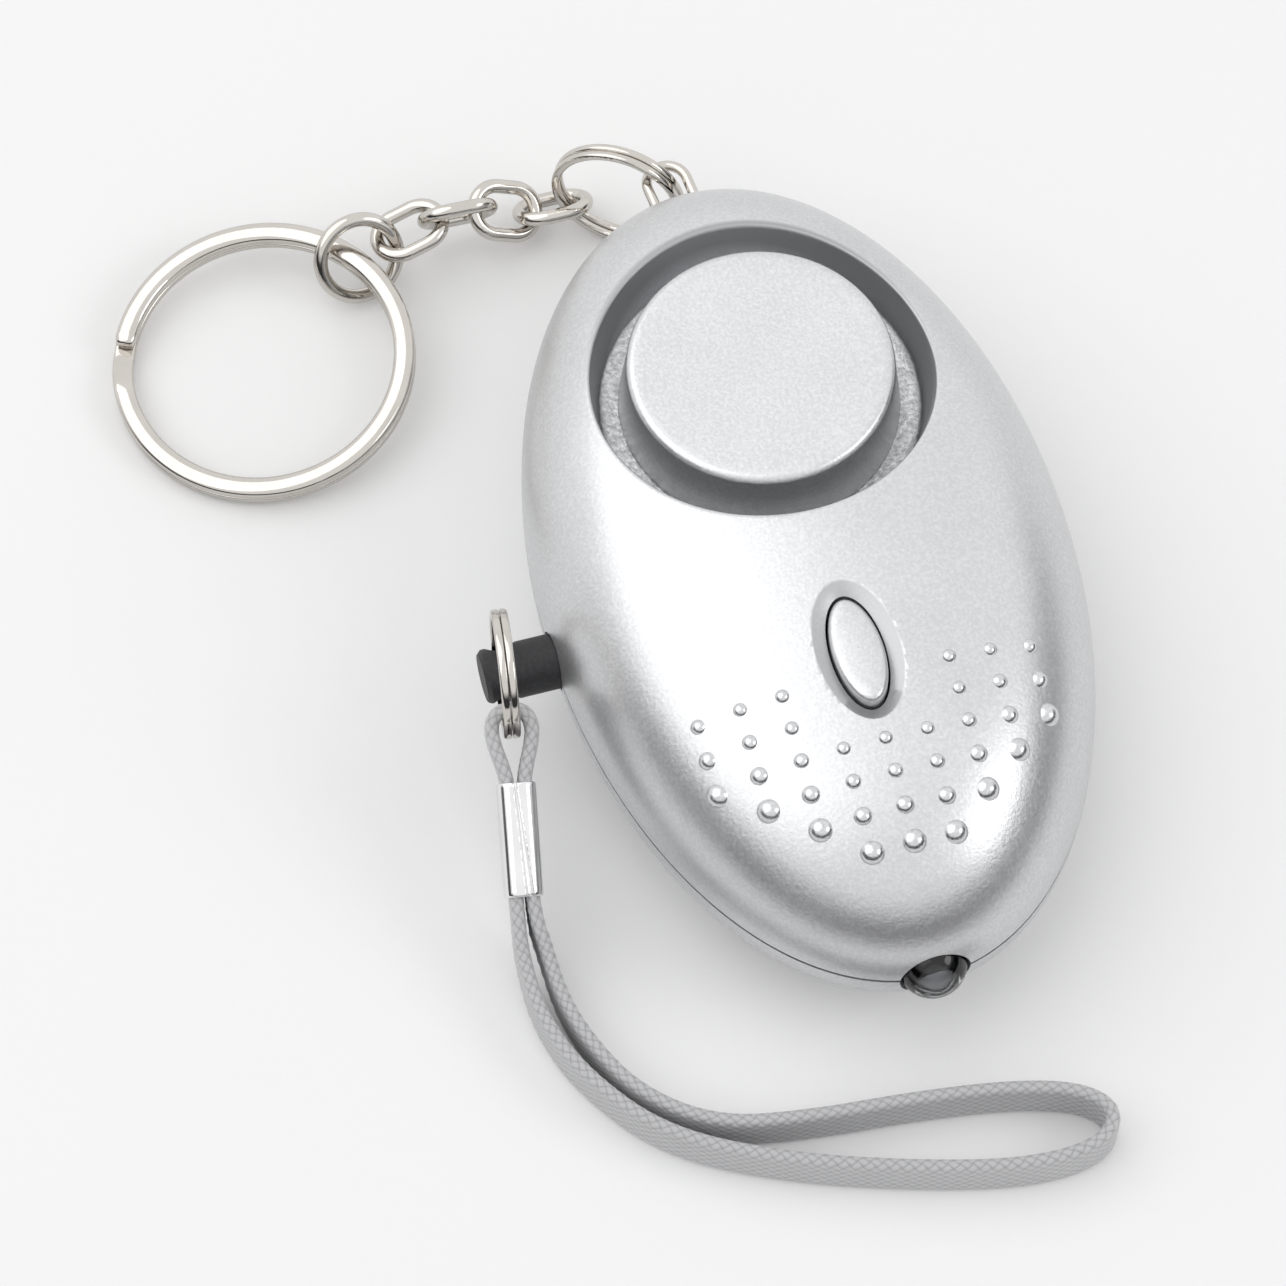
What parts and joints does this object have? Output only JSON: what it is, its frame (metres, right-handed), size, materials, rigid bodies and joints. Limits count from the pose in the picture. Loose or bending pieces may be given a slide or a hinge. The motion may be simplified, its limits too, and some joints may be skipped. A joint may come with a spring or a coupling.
{
  "type": "personal safety alarm",
  "caption": "Egg-shaped personal alarm with a round siren cap, a torch button and lamp, a pull pin on a braided wrist strap and a key ring on a short chain.",
  "frame": {"origin": "centre of the flat face on the back that the alarm rests on", "axes": "+Z out of the siren and button face, -Y towards the lamp, +Y towards the key chain, -X towards the pull pin"},
  "size_m": [0.0642, 0.0908, 0.0202],
  "materials": {
    "silver": "satin silver paint on moulded plastic",
    "lamp": "clear",
    "pin": "matt black",
    "strap": "braided, light grey",
    "nickel": "nickel plated",
    "screw": "plain",
    "tin": "tinned",
    "board": "green lacquer",
    "dark": "moulded",
    "parts": "plain",
    "brass": "rolled",
    "ceramic": "silvered",
    "wire": "insulated",
    "cell": "nickel plated"
  },
  "bodies": {
    "alarm_body": {"front_shell": "silver", "rear_shell": "silver", "sounder_cap": "silver", "torch_lamp": "lamp", "shell_screws": "screw", "lamp_leads": "tin", "circuit_board": "board", "switch_body": "dark", "controller_chip": "dark", "board_components": "parts", "boost_coil": "dark", "board_screws": "screw", "siren_gasket": "dark", "siren_plate": "brass", "siren_ceramic": "ceramic", "siren_wires": "wire", "button_cell_1": "cell", "button_cell_2": "cell", "button_cell_3": "cell", "battery_plate": "tin", "battery_spring": "tin", "pin_socket": "dark", "pin_fixed_contact": "tin", "pin_leaf_contact": "tin"},
    "torch_button": {"torch_button": "silver", "switch_plunger": "dark"},
    "pull_pin": {"pull_pin": "pin"},
    "strap_ring": {"strap_ring": "nickel"},
    "strap": {"strap_eye": "strap", "strap_crimp": "nickel", "strap_loop": "strap"},
    "bail": {"bail_link": "nickel"},
    "body_ring": {"body_ring": "nickel"},
    "chain_link_1": {"chain_link_1": "nickel"},
    "chain_link_2": {"chain_link_2": "nickel"},
    "chain_link_3": {"chain_link_3": "nickel"},
    "chain_link_4": {"chain_link_4": "nickel"},
    "chain_link_5": {"chain_link_5": "nickel"},
    "key_ring": {"key_ring": "nickel"}
  },
  "joints": [
    {"name": "pin_pull", "type": "slide", "parent": "alarm_body", "child": "pull_pin", "axis": [-1, 0, 0], "range_m": [0, 0.014]},
    {"name": "torch_press", "type": "slide", "parent": "alarm_body", "child": "torch_button", "axis": [0, 0, -1], "range_m": [0, 0.0005], "stiffness_N_per_m": 2000, "springref_m": -0.0005},
    {"name": "strap_ring_swing", "type": "hinge", "parent": "pull_pin", "child": "strap_ring", "pos_m": [-0.0233, -0.0017, 0.0085], "axis": [0.1229, 0.8744, 0.4695], "range_deg": [-20, 20]},
    {"name": "strap_swing", "type": "hinge", "parent": "strap_ring", "child": "strap", "pos_m": [-0.02414, -0.00768, 0.01049], "axis": [-0.0792, -0.4232, 0.9026], "range_deg": [-8, 8]},
    {"name": "bail_swing", "type": "hinge", "parent": "alarm_body", "child": "bail", "pos_m": [0, 0.0296, 0.0085], "axis": [0, 0, 1], "range_deg": [-6, 6]},
    {"name": "body_ring_swing", "type": "hinge", "parent": "bail", "child": "body_ring", "pos_m": [-0.0008, 0.03586, 0.00901], "axis": [0.9962, 0.0872, 0], "range_deg": [-10, 30]},
    {"name": "chain_joint_1", "type": "hinge", "parent": "body_ring", "child": "chain_link_1", "pos_m": [-0.00695, 0.03897, 0.00205], "axis": [-0.5664, 0.428, 0.7043], "range_deg": [-12, 12]},
    {"name": "chain_joint_2", "type": "hinge", "parent": "chain_link_1", "child": "chain_link_2", "pos_m": [-0.01117, 0.0394, 0.00258], "axis": [-0.0244, -0.7983, 0.6017], "range_deg": [-12, 12]},
    {"name": "chain_joint_3", "type": "hinge", "parent": "chain_link_2", "child": "chain_link_3", "pos_m": [-0.01465, 0.03968, 0.00453], "axis": [-0.2654, -0.8582, -0.4394], "range_deg": [-12, 12]},
    {"name": "chain_joint_4", "type": "hinge", "parent": "chain_link_3", "child": "chain_link_4", "pos_m": [-0.01863, 0.03964, 0.00449], "axis": [-0.0489, 0.3584, -0.9323], "range_deg": [-12, 12]},
    {"name": "chain_joint_5", "type": "hinge", "parent": "chain_link_4", "child": "chain_link_5", "pos_m": [-0.02243, 0.03885, 0.00366], "axis": [0.1548, -0.9826, 0.1029], "range_deg": [-12, 12]},
    {"name": "key_ring_swing", "type": "hinge", "parent": "chain_link_5", "child": "key_ring", "pos_m": [-0.02414, 0.0383, 0.00351], "axis": [0.5664, -0.8241, 0], "range_deg": [-10, 10]}
  ]
}
